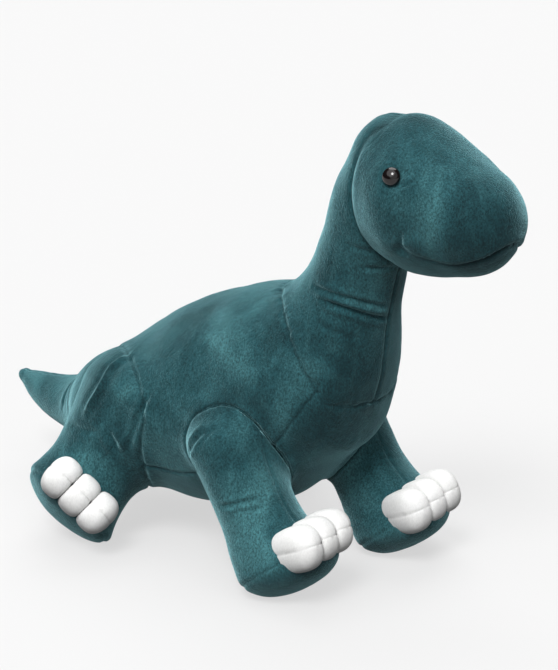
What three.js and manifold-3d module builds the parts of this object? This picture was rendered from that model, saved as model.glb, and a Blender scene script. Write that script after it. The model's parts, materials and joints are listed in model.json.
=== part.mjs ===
// Stuffed toy dinosaur with a long neck: sewn velour covers over soft stuffing.
// Lengths are in millimetres, +Z is up, the animal faces -Y and its own right side is -X.
import * as THREE from "three";
import { mergeVertices } from "three/addons/utils/BufferGeometryUtils.js";
import Module from "manifold-3d";

const wasm = await Module();
wasm.setup();

// ---- driving dimensions -------------------------------------------------
const FABRIC = 1.2; // thickness of the velour with its backing
const GAP = 0.3; // clear gap between two neighbouring bodies
const TURNED_FACETS = 12; // facets around the eye parts
const DOME_ROWS = 3; // rows of facets over each rounded end
const SOLE_SEAM = 5; // distance of the sole seam beyond the middle of the foot
const SWEEP_STEPS = 3; // poses each way that a joint is cleared for
const SWEEP_GAP = 0.8; // clear gap that a turning part keeps

// Ranges of the soft joints, in degrees either side of the rest pose.
const NECK_RANGE = 12;
const NOD_RANGE = 12;
const TAIL_RANGE = 15;
const LEG_RANGE = 15;

// Points the trunk joints turn about; each leg turns about its own hip.
const NECK_PIVOT = new THREE.Vector3(0, 28, 146);
const NOD_PIVOT = new THREE.Vector3(0, -56, 284);
const TAIL_PIVOT = new THREE.Vector3(0, 212, 72);

const X_AXIS = new THREE.Vector3(1, 0, 0);
const Z_AXIS = new THREE.Vector3(0, 0, 1);

// Safety eyes: a domed cap on a post, held from inside by a lock washer.
const EYE = {
  base: [41, -75.5, 302.2],
  facing: [0.88, -0.27, 0.4],
  radius: 5.6,
  height: 3.8,
  postRadius: 1.6,
  postLength: 7.5,
};
const WASHER = { radius: 4.6, bore: 1.8, top: 2.8, thickness: 1.5 };

const TEAL = 0x1f5a60;
const WHITE = 0xf1f0ee;
const FIBRE = 0xf4f3ef;
const EYE_BLACK = 0x0c0a0a;
const WASHER_GREY = 0x8d9092;

// ---- soft forms ---------------------------------------------------------
// A soft form is a row of oval slices along a centre line, closed by a dome at each end.
// Trunk slices stand in planes square to a heading: 0 degrees heads to +Y, 90 heads to +Z.
// Each slice gives its centre (y, z), its half width and its half heights above and below.

const TORSO = {
  topSign: 1,
  around: 16,
  startDome: 8,
  endDome: 32,
  slices: [
    { y: -4, z: 134, heading: 0, wide: 34, up: 38, down: 38 },
    { y: 22, z: 122, heading: 0, wide: 52, up: 66, down: 62 },
    { y: 60, z: 108, heading: 0, wide: 69, up: 82, down: 74 },
    { y: 104, z: 100, heading: 0, wide: 77, up: 82, down: 74 },
    { y: 146, z: 93, heading: 0, wide: 75, up: 69, down: 68 },
    { y: 184, z: 83, heading: 0, wide: 63, up: 53, down: 56 },
    { y: 212, z: 75, heading: 0, wide: 48, up: 37, down: 42 },
  ],
};

const NECK = {
  topSign: -1,
  around: 14,
  startDome: 20,
  endDome: 32,
  slices: [
    { y: 26, z: 140, heading: 134, wide: 47, up: 51, down: 46 },
    { y: 4, z: 171, heading: 122, wide: 38, up: 39, down: 41 },
    { y: -10, z: 206, heading: 112, wide: 34, up: 34, down: 33 },
    { y: -21, z: 240, heading: 109, wide: 31, up: 31, down: 30 },
    { y: -32, z: 272, heading: 110, wide: 32, up: 31, down: 30 },
    { y: -44, z: 300, heading: 114, wide: 30, up: 29, down: 30 },
  ],
};

const HEAD = {
  topSign: -1,
  around: 16,
  startDome: 15,
  endDome: 34,
  slices: [
    { y: -42, z: 284, heading: 180, wide: 38, up: 46, down: 45 },
    { y: -66, z: 283, heading: 181, wide: 46, up: 49.5, down: 52 },
    { y: -90, z: 278, heading: 184, wide: 42, up: 42, down: 47 },
    { y: -109, z: 272, heading: 186, wide: 37, up: 36.5, down: 37.5 },
  ],
};

const TAIL = {
  topSign: 1,
  around: 12,
  startDome: 20,
  endDome: 8,
  slices: [
    { y: 206, z: 68, heading: 0, wide: 39, up: 39, down: 38 },
    { y: 236, z: 62, heading: 2, wide: 31, up: 31, down: 30 },
    { y: 264, z: 58, heading: 4, wide: 24, up: 24, down: 22 },
    { y: 292, z: 57, heading: 8, wide: 17, up: 18, down: 16 },
    { y: 314, z: 61, heading: 14, wide: 11, up: 11, down: 11 },
    { y: 328, z: 65, heading: 18, wide: 6, up: 6, down: 6 },
  ],
};

// Legs run from a hip inside the torso to the middle of the foot. Slices lie at a share `t` of
// that line; `toe` and `heel` are the half lengths towards and away from the toes. The slices
// turn on the way from square to the leg to square to `soleWay`, which the sole faces.
// Toe 1 is the inner one; `lean` is how much lower each next toe sits.
const FRONT_SLICES = [
  { t: 0, wide: 30, toe: 29, heel: 29 },
  { t: 0.3, wide: 28, toe: 27, heel: 28 },
  { t: 0.6, wide: 28, toe: 27, heel: 28 },
  { t: 0.85, wide: 32, toe: 38, heel: 27 },
  { t: 1, wide: 34, toe: 49, heel: 26 },
];

const FRONT_RIGHT_LEG = {
  around: 14,
  hip: [60, 48, 96],
  foot: [60, 3, 20.8],
  toeWay: [0, -0.9, 0.42],
  soleWay: [0.06, -0.42, -0.9],
  startDome: 28,
  endDome: 21,
  slices: FRONT_SLICES,
  toes: { out: 38, rise: 10.5, lean: 2.5, spacing: 15.5, half: 11, tall: 16.5, length: 20 },
};

const FRONT_LEFT_LEG = {
  ...FRONT_RIGHT_LEG,
  hip: [51, 51, 96],
  foot: [53, -4, 20.8],
  toeWay: [-0.12, -0.9, 0.4],
  toes: { ...FRONT_RIGHT_LEG.toes, out: 36, rise: 9.5, lean: -1.5 },
};

const HIND_LEG = {
  around: 14,
  hip: [46, 155, 94],
  foot: [93, 175, 28.8],
  toeWay: [0.46, -0.74, 0.48],
  soleWay: [0.78, 0.19, -0.58],
  startDome: 38,
  endDome: 17,
  slices: [
    { t: 0, wide: 44, toe: 54, heel: 43 },
    { t: 0.35, wide: 38, toe: 40, heel: 38 },
    { t: 0.7, wide: 34, toe: 31, heel: 33 },
    { t: 0.9, wide: 36, toe: 34, heel: 31 },
    { t: 1, wide: 38, toe: 36, heel: 30 },
  ],
  toes: { out: 33, rise: 2, lean: 0, spacing: 18, half: 11.2, tall: 16, length: 20 },
};

// Seams seen from the side, as (y, z) points: the belly gusset lies below the first line and
// the chin below the second one, which is also the mouth.
const BELLY_SEAM = [
  [-60, 172],
  [-25, 160],
  [-10, 138],
  [1, 121],
  [19, 98],
  [50, 79],
  [89, 65],
  [118, 64],
  [160, 60],
  [200, 56],
  [260, 50],
];
const MOUTH_SEAM = [
  [-160, 268],
  [-143, 260],
  [-130, 252.5],
  [-114, 249.5],
  [-104, 250.5],
  [-95, 254],
  [-83, 260.5],
  [-70, 225],
];
const UNDERSIDE = -20; // depth both side profiles are closed at
const CHIN_UNDERSIDE = 205;

const BODY_ROWS = 2; // rows of facets between two neighbouring slices

function catmull(a, b, c, d, s) {
  const linear = (c - a) / 2;
  const square = a - 2.5 * b + 2 * c - d / 2;
  const cube = (d - a) / 2 + 1.5 * (b - c);
  return b + s * (linear + s * (square + s * cube));
}

// Value of every named number of the slices at a place between two of them.
function between(slices, index, share) {
  const last = slices.length - 1;
  const a = slices[Math.max(index - 1, 0)];
  const b = slices[index];
  const c = slices[Math.min(index + 1, last)];
  const d = slices[Math.min(index + 2, last)];
  const mixed = {};
  for (const key of Object.keys(b)) {
    mixed[key] = catmull(a[key], b[key], c[key], d[key], share);
  }
  return mixed;
}

// The rows of a form, each with its centre, its three directions and its half sizes.
function formRows(form, grow) {
  const first = form.place(form.slices[0]);
  const last = form.place(form.slices[form.slices.length - 1]);
  const rows = [];
  const addDome = (end, reach, angle, way) => {
    const size = Math.sin(angle);
    const shift = way * (reach + grow) * Math.cos(angle);
    rows.push({
      ...end,
      centre: end.centre.clone().addScaledVector(end.along, shift),
      wide: (end.wide + grow) * size,
      up: (end.up + grow) * size,
      down: (end.down + grow) * size,
    });
  };
  for (let i = 0; i < DOME_ROWS; i += 1) {
    addDome(first, form.startDome, (i / DOME_ROWS) * (Math.PI / 2), -1);
  }
  for (let i = 0; i < form.slices.length - 1; i += 1) {
    for (let k = 0; k < BODY_ROWS; k += 1) {
      const row = form.place(between(form.slices, i, k / BODY_ROWS));
      row.wide += grow;
      row.up += grow;
      row.down += grow;
      rows.push(row);
    }
  }
  for (let i = DOME_ROWS; i >= 0; i -= 1) {
    addDome(last, form.endDome, (i / DOME_ROWS) * (Math.PI / 2), 1);
  }
  return rows;
}

function trunkForm(data) {
  const place = (slice) => {
    const angle = THREE.MathUtils.degToRad(slice.heading);
    const along = new THREE.Vector3(0, Math.cos(angle), Math.sin(angle));
    const top = new THREE.Vector3(0, -Math.sin(angle), Math.cos(angle));
    return {
      centre: new THREE.Vector3(0, slice.y, slice.z),
      along,
      top: top.multiplyScalar(data.topSign),
      side: X_AXIS,
      wide: slice.wide,
      up: slice.up,
      down: slice.down,
    };
  };
  return { ...data, place };
}

// Leg data is written for the left side; `hand` is 1 for the left leg and -1 for the right one.
function legForm(data, hand) {
  const flip = (p) => new THREE.Vector3(p[0] * hand, p[1], p[2]);
  const hip = flip(data.hip);
  const foot = flip(data.foot);
  const along = foot.clone().sub(hip).normalize();
  const soleWay = flip(data.soleWay).normalize();
  const squareTo = (axis) => {
    const top = flip(data.toeWay);
    top.addScaledVector(axis, -top.dot(axis)).normalize();
    const side = new THREE.Vector3().crossVectors(axis, top).multiplyScalar(-hand);
    return { along: axis, top, side };
  };
  const place = (slice) => {
    const share = THREE.MathUtils.smoothstep(slice.t, 0.2, 1);
    return {
      ...squareTo(along.clone().lerp(soleWay, share).normalize()),
      centre: hip.clone().lerp(foot, slice.t),
      wide: slice.wide,
      up: slice.toe,
      down: slice.heel,
    };
  };
  const { top: toeWay, side } = squareTo(soleWay);
  const panelWay = squareTo(along).side;
  return { ...data, place, hipPoint: hip, footPoint: foot, soleWay, toeWay, side, panelWay };
}

// Point of a row at an angle measured from its top towards its side direction.
function rimPoint(row, angle) {
  const high = Math.cos(angle) > 0 ? row.up : row.down;
  return row.centre
    .clone()
    .addScaledVector(row.side, row.wide * Math.sin(angle))
    .addScaledVector(row.top, high * Math.cos(angle));
}

// ---- turning grids of points into closed bodies -------------------------
function toSolid(points, faces) {
  const geometry = new THREE.BufferGeometry();
  const flat = [];
  for (const face of faces) {
    for (const index of face) flat.push(...points[index].toArray());
  }
  geometry.setAttribute("position", new THREE.Float32BufferAttribute(flat, 3));
  const merged = mergeVertices(geometry, 1e-3);
  const index = merged.index.array;
  const kept = [];
  for (let i = 0; i < index.length; i += 3) {
    const [a, b, c] = [index[i], index[i + 1], index[i + 2]];
    if (a !== b && b !== c && c !== a) kept.push(a, b, c);
  }
  const solid = new wasm.Manifold(
    new wasm.Mesh({
      numProp: 3,
      vertProperties: merged.attributes.position.array,
      triVerts: new Uint32Array(kept),
    }),
  );
  return solid.volume() < 0 ? toSolid(points, faces.map((f) => [...f].reverse())) : solid;
}

function gridFaces(rowCount, columnCount) {
  const faces = [];
  for (let i = 0; i < rowCount - 1; i += 1) {
    for (let j = 0; j < columnCount - 1; j += 1) {
      const corner = i * columnCount + j;
      const next = corner + columnCount;
      faces.push([corner, corner + 1, next], [corner + 1, next + 1, next]);
    }
  }
  return faces;
}

// Whole form as one solid, larger or smaller than the cover by `grow`, flattened by the ground.
function wholeSolid(form, grow) {
  const rows = formRows(form, grow);
  const points = [];
  for (const row of rows) {
    for (let j = 0; j <= form.around; j += 1) {
      points.push(rimPoint(row, (j / form.around) * 2 * Math.PI));
    }
  }
  const whole = toSolid(points, gridFaces(rows.length, form.around + 1));
  return whole.trimByPlane([0, 0, 1], -grow);
}

// Solid made from any three.js geometry placed by a matrix.
function fromGeometry(geometry, matrix) {
  const plain = geometry.index ? geometry.toNonIndexed() : geometry;
  plain.applyMatrix4(matrix);
  const position = plain.attributes.position;
  const points = [];
  const faces = [];
  for (let i = 0; i < position.count; i += 1) {
    points.push(new THREE.Vector3().fromBufferAttribute(position, i));
    if (i % 3 === 2) faces.push([i - 2, i - 1, i]);
  }
  return toSolid(points, faces);
}

// A (y, z) outline pushed through the whole width of the toy.
function sideProfile(outline) {
  const reach = 120;
  const shape = new THREE.Shape(outline.map(([y, z]) => new THREE.Vector2(y, z)));
  const geometry = new THREE.ExtrudeGeometry(shape, { depth: 2 * reach, bevelEnabled: false });
  const up = new THREE.Vector3(0, 0, 1);
  const matrix = new THREE.Matrix4().makeBasis(new THREE.Vector3(0, 1, 0), up, X_AXIS);
  return fromGeometry(geometry, matrix.setPosition(-reach, 0, 0));
}

// The same profile a seam gap larger on its upper and front edges.
function widened(profile) {
  return profile.add(profile.translate(0, 0, GAP)).add(profile.translate(0, GAP, 0));
}

// Left (+1) or right (-1) half of a solid, half a seam gap away from the middle plane.
function halfOf(solid, hand) {
  return solid.trimByPlane([hand, 0, 0], GAP / 2);
}

// A turned part: (radius, height) outline round an axis that starts at a point.
function turnedPart(outline, start, way, segments) {
  const geometry = new THREE.LatheGeometry(
    outline.map(([radius, height]) => new THREE.Vector2(radius, height)),
    segments,
  );
  const turn = new THREE.Quaternion().setFromUnitVectors(new THREE.Vector3(0, 1, 0), way);
  const matrix = new THREE.Matrix4().makeRotationFromQuaternion(turn).setPosition(start);
  return fromGeometry(geometry, matrix);
}

const rod = (radius, low, high) => [[0, low], [radius, low], [radius, high], [0, high]];

// The largest connected piece, so no crumb is left by a trim.
function largest(solid) {
  const pieces = solid.decompose();
  pieces.sort((a, b) => b.volume() - a.volume());
  return pieces[0];
}

function turned(solid, pivot, axis, degrees) {
  const matrix = new THREE.Matrix4()
    .makeTranslation(pivot.x, pivot.y, pivot.z)
    .multiply(new THREE.Matrix4().makeRotationAxis(axis, THREE.MathUtils.degToRad(degrees)))
    .multiply(new THREE.Matrix4().makeTranslation(-pivot.x, -pivot.y, -pivot.z));
  return solid.transform(matrix.elements);
}

// Everything a neighbour sweeps over while a joint moves through its range.
function swept(solid, pivot, axis, range) {
  let whole = solid;
  for (let angle = -range; angle <= range; angle += range / SWEEP_STEPS) {
    whole = whole.add(turned(solid, pivot, axis, angle));
  }
  return whole;
}

// The slot one toe may fill between its neighbours, open on the outer side of the end toes.
function toeSlot(leg, centre, toes, index) {
  const reach = 60;
  const low = index === -1 ? -reach : (GAP - toes.spacing) / 2;
  const high = index === 1 ? reach : (toes.spacing - GAP) / 2;
  const matrix = new THREE.Matrix4().makeBasis(leg.side, leg.toeWay, leg.soleWay);
  matrix.setPosition(centre.clone().addScaledVector(leg.side, (low + high) / 2));
  return fromGeometry(new THREE.BoxGeometry(high - low, 2 * reach, 2 * reach), matrix);
}

function toeForm(leg, centre, toes) {
  const place = (slice) => ({
    centre: centre.clone().addScaledVector(leg.toeWay, slice.out),
    along: leg.toeWay,
    top: leg.soleWay.clone().negate(),
    side: leg.side,
    wide: toes.half,
    up: toes.tall,
    down: toes.tall,
  });
  const slices = [{ out: -12 }, { out: 6 }];
  return { around: 12, startDome: 8, endDome: toes.length * 0.7, slices, place };
}

// ---- the assembly -------------------------------------------------------
const root = new THREE.Group();
root.name = "stuffed_dinosaur";

const MATERIALS = {
  teal_velour: { color: TEAL, roughness: 0.95, metalness: 0 },
  white_velour: { color: WHITE, roughness: 0.95, metalness: 0 },
  stuffing: { color: FIBRE, roughness: 1, metalness: 0 },
  eye_plastic: { color: EYE_BLACK, roughness: 0.08, metalness: 0 },
  washer_plastic: { color: WASHER_GREY, roughness: 0.5, metalness: 0 },
};

function place(name, solid, material) {
  const mesh = largest(solid).getMesh();
  const stride = mesh.numProp;
  const positions = [];
  for (let i = 0; i < mesh.vertProperties.length; i += stride) {
    positions.push(...mesh.vertProperties.slice(i, i + 3));
  }
  const geometry = new THREE.BufferGeometry();
  geometry.setAttribute("position", new THREE.Float32BufferAttribute(positions, 3));
  geometry.setIndex([...mesh.triVerts]);
  const object = new THREE.Mesh(geometry, new THREE.MeshStandardMaterial(MATERIALS[material]));
  object.name = name;
  root.add(object);
}

const STUFFING_INSET = -(FABRIC + GAP);
const HANDS = [["left", 1], ["right", -1]];

const torso = trunkForm(TORSO);
const neck = trunkForm(NECK);
const head = trunkForm(HEAD);
const tail = trunkForm(TAIL);
const shellOf = (form) => wholeSolid(form, 0).subtract(wholeSolid(form, -FABRIC));
const stuffingOf = (form) => wholeSolid(form, STUFFING_INSET);

const torsoClear = wholeSolid(torso, GAP);
const torsoSweep = wholeSolid(torso, SWEEP_GAP);
const headClear = wholeSolid(head, GAP);
const headStuffingClear = wholeSolid(head, STUFFING_INSET + GAP);

// Torso: two side panels over a belly gusset.
const bellyProfile = sideProfile([...BELLY_SEAM, [260, UNDERSIDE], [-60, UNDERSIDE]]);
const torsoShell = shellOf(torso);
const torsoSides = torsoShell.subtract(widened(bellyProfile));
for (const [hand, sign] of HANDS) {
  place(`torso_side_${hand}`, halfOf(torsoSides, sign), "teal_velour");
}
place("torso_belly", torsoShell.intersect(bellyProfile), "teal_velour");
place("torso_stuffing", stuffingOf(torso), "stuffing");

// Neck: two panels with a seam down the throat and one down the back.
const neckShell = shellOf(neck).subtract(torsoClear).subtract(headClear);
for (const [hand, sign] of HANDS) {
  place(`neck_panel_${hand}`, halfOf(neckShell, sign), "teal_velour");
}
const neckStuffing = stuffingOf(neck)
  .subtract(swept(torsoSweep, NECK_PIVOT, X_AXIS, NECK_RANGE))
  .subtract(headClear)
  .subtract(swept(headStuffingClear, NOD_PIVOT, X_AXIS, NOD_RANGE));
place("neck_stuffing", neckStuffing, "stuffing");

// Head: two cheek panels, a chin panel under the mouth seam, and the eyes with their washers.
const chinProfile = sideProfile([...MOUTH_SEAM, [-70, CHIN_UNDERSIDE], [-160, CHIN_UNDERSIDE]]);
const headShell = shellOf(head);
let cheeks = headShell.subtract(widened(chinProfile));
let headStuffing = stuffingOf(head);
for (const [hand, sign] of HANDS) {
  const base = new THREE.Vector3(EYE.base[0] * sign, EYE.base[1], EYE.base[2]);
  const facing = new THREE.Vector3(EYE.facing[0] * sign, EYE.facing[1], EYE.facing[2]).normalize();
  const capOutline = [];
  for (let i = 0; i <= 4; i += 1) {
    const angle = (i / 4) * (Math.PI / 2);
    capOutline.push([EYE.radius * Math.sin(angle), EYE.height * Math.cos(angle)]);
  }
  capOutline.push([EYE.radius, -1], [0, -1]);
  const cap = turnedPart(capOutline, base, facing, TURNED_FACETS).subtract(headClear);
  const post = turnedPart(rod(EYE.postRadius, -EYE.postLength, 1), base, facing, TURNED_FACETS);
  place(`eye_${hand}`, cap.add(post), "eye_plastic");
  const washerLow = -WASHER.top - WASHER.thickness;
  const ring = turnedPart(rod(WASHER.radius, washerLow, -WASHER.top), base, facing, TURNED_FACETS);
  const bore = turnedPart(rod(WASHER.bore, washerLow - 1, 0), base, facing, TURNED_FACETS);
  place(`eye_washer_${hand}`, ring.subtract(bore), "washer_plastic");
  cheeks = cheeks.subtract(turnedPart(rod(EYE.postRadius + GAP, -5, 5), base, facing, TURNED_FACETS));
  const pocket = rod(WASHER.radius + GAP, -EYE.postLength - GAP, 5);
  headStuffing = headStuffing.subtract(turnedPart(pocket, base, facing, TURNED_FACETS));
}
for (const [hand, sign] of HANDS) {
  place(`head_cheek_${hand}`, halfOf(cheeks, sign), "teal_velour");
}
place("head_chin", headShell.intersect(chinProfile), "teal_velour");
place("head_stuffing", headStuffing, "stuffing");

// Tail: two panels sewn along the top and the underside.
const tailShell = shellOf(tail).subtract(torsoClear);
for (const [hand, sign] of HANDS) {
  place(`tail_panel_${hand}`, halfOf(tailShell, sign), "teal_velour");
}
const tailStuffing = stuffingOf(tail).subtract(swept(torsoSweep, TAIL_PIVOT, Z_AXIS, TAIL_RANGE));
place("tail_stuffing", tailStuffing, "stuffing");

// Legs: an outer and an inner panel, a sole, stuffing and the stuffed toes. A seam down the toe
// side and the heel side parts the two panels, and a seam square to the leg parts them from the sole.
function addLeg(name, data, hand) {
  const leg = legForm(data, hand);
  const legClear = wholeSolid(leg, GAP);
  const shell = shellOf(leg);
  const sideWay = leg.panelWay.toArray();
  const sideMiddle = leg.panelWay.dot(leg.footPoint);
  const soleWay = leg.soleWay.toArray();
  const soleLevel = leg.soleWay.dot(leg.footPoint) + SOLE_SEAM;
  const reversed = (way) => way.map((value) => -value);
  const upper = shell.trimByPlane(reversed(soleWay), GAP / 2 - soleLevel).subtract(torsoClear);
  place(`${name}_outer`, upper.trimByPlane(sideWay, sideMiddle + GAP / 2), "teal_velour");
  place(`${name}_inner`, upper.trimByPlane(reversed(sideWay), GAP / 2 - sideMiddle), "teal_velour");
  place(`${name}_sole`, shell.trimByPlane(soleWay, soleLevel + GAP / 2), "teal_velour");
  const reach = swept(torsoSweep, leg.hipPoint, X_AXIS, LEG_RANGE);
  place(`${name}_stuffing`, stuffingOf(leg).subtract(reach), "stuffing");
  for (const index of [-1, 0, 1]) {
    const centre = leg.footPoint
      .clone()
      .addScaledVector(leg.toeWay, data.toes.out)
      .addScaledVector(leg.soleWay, index * data.toes.lean - data.toes.rise)
      .addScaledVector(leg.side, index * data.toes.spacing);
    const slot = toeSlot(leg, centre, data.toes, index);
    const toe = wholeSolid(toeForm(leg, centre, data.toes), 0).intersect(slot).subtract(legClear);
    place(`${name}_toe_${index + 2}`, toe, "white_velour");
  }
}
addLeg("front_left", FRONT_LEFT_LEG, 1);
addLeg("front_right", FRONT_RIGHT_LEG, -1);
addLeg("hind_left", HIND_LEG, 1);
addLeg("hind_right", HIND_LEG, -1);

// The origin is the middle of the footprint, on the ground.
const box = new THREE.Box3().setFromObject(root);
root.position.set(-(box.min.x + box.max.x) / 2, -(box.min.y + box.max.y) / 2, -box.min.z);

export default root;
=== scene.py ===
"""Stuffed long-necked dinosaur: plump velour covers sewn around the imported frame.

Each cover starts as a cage lofted through oval slices. The cages are laid on one smoothly joined
surface, subdivided, pushed into shape, and given seams, folds and lumps as relief.
"""

import json
import math

import bpy
import numpy as np
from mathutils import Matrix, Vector
from mathutils.bvhtree import BVHTree


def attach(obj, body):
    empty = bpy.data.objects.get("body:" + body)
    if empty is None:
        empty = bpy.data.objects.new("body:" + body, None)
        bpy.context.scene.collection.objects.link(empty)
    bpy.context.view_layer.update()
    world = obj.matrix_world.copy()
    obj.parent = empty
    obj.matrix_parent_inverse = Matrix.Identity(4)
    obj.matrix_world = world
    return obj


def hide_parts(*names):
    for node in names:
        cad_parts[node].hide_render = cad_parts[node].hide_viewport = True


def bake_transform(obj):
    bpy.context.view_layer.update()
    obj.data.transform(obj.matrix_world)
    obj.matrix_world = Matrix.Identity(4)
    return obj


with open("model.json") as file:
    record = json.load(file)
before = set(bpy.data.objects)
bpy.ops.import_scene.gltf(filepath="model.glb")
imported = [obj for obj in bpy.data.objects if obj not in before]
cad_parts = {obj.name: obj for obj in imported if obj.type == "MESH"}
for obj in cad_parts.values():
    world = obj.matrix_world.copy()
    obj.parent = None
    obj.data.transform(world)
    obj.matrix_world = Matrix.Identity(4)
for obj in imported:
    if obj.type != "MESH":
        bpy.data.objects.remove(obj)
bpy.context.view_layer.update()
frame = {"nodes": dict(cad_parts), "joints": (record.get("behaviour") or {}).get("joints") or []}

# ---- the frame and the design drawing --------------------------------------
# Shapes are drawn in millimetres with the drawing's own origin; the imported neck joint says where
# that origin lies in the frame. The nose points to -Y, the tail to +Y and the left side to +X.
PIVOTS = {joint["name"]: np.array(joint["pos_m"]) * 1000 for joint in frame["joints"]}
NECK_PIVOT = np.array([0.0, 28.0, 146.0])
ORIGIN = PIVOTS["neck_bend"] - NECK_PIVOT
HEAD_PIVOT = PIVOTS["head_nod"] - ORIGIN
TAIL_PIVOT = PIVOTS["tail_swing"] - ORIGIN


def metres(point):
    """A drawing point, or an array of them, in the frame."""
    return (np.asarray(point, float) + ORIGIN) / 1000


# ---- forms: oval slices along a centre line, with a dome at each end --------
# "top" is 1 where the line runs to the tail and -1 where it runs to the nose; "merge" says how
# far the surface runs into the forms it meets.
TORSO = {
    "top": 1, "domes": (8, 32), "merge": 0,
    # y, z, heading, half width, half height above, half height below
    "slices": [
        (-4, 134, 0, 34, 38, 38), (22, 122, 0, 52, 66, 62), (60, 108, 0, 69, 82, 74),
        (104, 100, 0, 77, 82, 74), (146, 93, 0, 75, 69, 68), (184, 83, 0, 63, 53, 56),
        (212, 75, 0, 48, 37, 42),
    ],
}
NECK = {
    "top": -1, "domes": (20, 32), "merge": 46,
    "slices": [
        (26, 140, 134, 47, 51, 46), (4, 171, 122, 38, 39, 41), (-10, 206, 112, 34, 34, 33),
        (-21, 240, 109, 31, 31, 30), (-32, 272, 110, 32, 31, 30), (-44, 300, 114, 30, 29, 30),
    ],
}
HEAD = {
    "top": -1, "domes": (15, 34), "merge": 5,
    "slices": [
        (-42, 284, 180, 38, 46, 45), (-66, 283, 181, 46, 49.5, 52), (-90, 278, 184, 42, 42, 47),
        (-109, 272, 186, 37, 36.5, 37.5),
    ],
}
TAIL = {
    "top": 1, "domes": (20, 8), "merge": 30,
    "slices": [
        (206, 68, 0, 39, 39, 38), (236, 62, 2, 31, 31, 30), (264, 58, 4, 24, 24, 22),
        (292, 57, 8, 17, 18, 16), (314, 61, 14, 11, 11, 11), (328, 65, 18, 6, 6, 6),
    ],
}
# Legs are drawn for the left side and flipped by "hand", which is -1 on the right.
FRONT = {
    "sole_way": (0.06, -0.42, -0.9), "domes": (28, 21), "merge": 14,
    # share of the way from hip to foot, half width, half length to the toes and to the heel
    "slices": [
        (0, 30, 29, 29), (0.3, 28, 27, 28), (0.6, 28, 27, 28), (0.85, 32, 38, 27), (1, 34, 49, 26),
    ],
}
HIND = {
    "hip": (46, 155, 94), "foot": (93, 175, 28.8), "toe_way": (0.46, -0.74, 0.48),
    "sole_way": (0.78, 0.19, -0.58), "domes": (38, 17), "merge": 18,
    "slices": [
        (0, 44, 54, 43), (0.35, 38, 40, 38), (0.7, 34, 31, 33), (0.9, 36, 34, 31), (1, 38, 36, 30),
    ],
    "toes": {"out": 33, "rise": 2, "lean": 0, "spacing": 18, "half": 11.2, "tall": 16},
}
# The toes' place from the middle of the foot, their spacing, half width and half height.
FRONT_TOES = {"out": 38, "rise": 10.5, "lean": 2.5, "spacing": 15.5, "half": 11, "tall": 16.5}
LEGS = {
    "front_right": {
        **FRONT, "hand": -1, "hip": (60, 48, 96), "foot": (60, 3, 20.8),
        "toe_way": (0, -0.9, 0.42), "toes": FRONT_TOES,
    },
    "front_left": {
        **FRONT, "hand": 1, "hip": (51, 51, 96), "foot": (53, -4, 20.8),
        "toe_way": (-0.12, -0.9, 0.4),
        "toes": {**FRONT_TOES, "out": 36, "rise": 9.5, "lean": -1.5},
    },
    "hind_right": {**HIND, "hand": -1},
    "hind_left": {**HIND, "hand": 1},
}
# the covers that are sewn to each other
SEWN = [{"neck_cover", "head_cover"}]
SEWN += [{"torso_cover", f"{part}_cover"} for part in ("neck", "tail", *LEGS)]
# right half of the ring where the neck is sewn on, from the nape to the chest
NECK_RING = [
    (0, 45, 190), (-9.4, 42, 189), (-25, 27.6, 185), (-37.5, 11.5, 173.6), (-38.9, 2, 159.2),
    (-36, -3.6, 149.8), (-31.6, -9.6, 138.1), (-27.3, -16.6, 134.4), (-20.3, -20.3, 131.3),
    (-11.4, -23.2, 131), (0, -24.5, 131),
]

CAGE = 5.0  # spacing of the cage that each cover starts from
SUBDIVISIONS = 2
MARGIN = 50.0  # forms further away than this have no effect on each other
HIDDEN = 30.0  # what lies deeper than this in a neighbour is left as lofted
HIDDEN_FADE = 10.0  # the step from laid to lofted is spread over this depth
TUCK_SHARE, TUCK_MOST = 0.6, 5  # how far a covered part sinks: share of its depth, and the most
RING_REACH = 26  # the neck ring decides which side is covered up to this distance
GROUND, GROUND_FADE = 1.5, 12  # the soles are flattened just above the ground
LEG_TURN = 0.2  # share of a leg's length where its slices begin to turn to the sole
LEG_BEND = (0.2, 0.8)  # shares of a leg's length around its joint; their places are worked out but the cover is not bent
X_AXIS = np.array([1.0, 0.0, 0.0])


def unit(vector):
    vector = np.asarray(vector, float)
    return vector / np.linalg.norm(vector)


def eased(share):
    """A soft step from 0 to 1."""
    share = np.clip(share, 0, 1)
    return share * share * (3 - 2 * share)


def catmull(a, b, c, d, s):
    """Between b and c, at share s, on the smooth curve through all four."""
    linear = (c - a) / 2
    square = a - 2.5 * b + 2 * c - d / 2
    cube = (d - a) / 2 + 1.5 * (b - c)
    return b + s * (linear + s * (square + s * cube))


def between_slices(slices, lengths):
    """The slices' numbers at every cage row along the centre line."""
    keys = np.array(slices, float)
    rows = []
    for i in range(len(keys) - 1):
        a, b, c, d = keys[max(i - 1, 0)], keys[i], keys[i + 1], keys[min(i + 2, len(keys) - 1)]
        count = max(2, round(lengths[i] / CAGE))
        rows += [catmull(a, b, c, d, k / count) for k in range(count)]
    return np.array(rows + [keys[-1]])


def trunk_rows(form):
    """Rows of a form in the middle plane: centre, way along, top, side and half sizes."""
    keys = np.array(form["slices"], float)
    rows = between_slices(form["slices"], np.linalg.norm(np.diff(keys[:, :2], axis=0), axis=1))
    angle = np.radians(rows[:, 2])
    zero = np.zeros(len(rows))
    centre = np.stack([zero, rows[:, 0], rows[:, 1]], 1)
    along = np.stack([zero, np.cos(angle), np.sin(angle)], 1)
    top = form["top"] * np.stack([zero, -np.sin(angle), np.cos(angle)], 1)
    side = np.tile(X_AXIS, (len(rows), 1))
    return centre, along, top, side, rows[:, 3:6]


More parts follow.
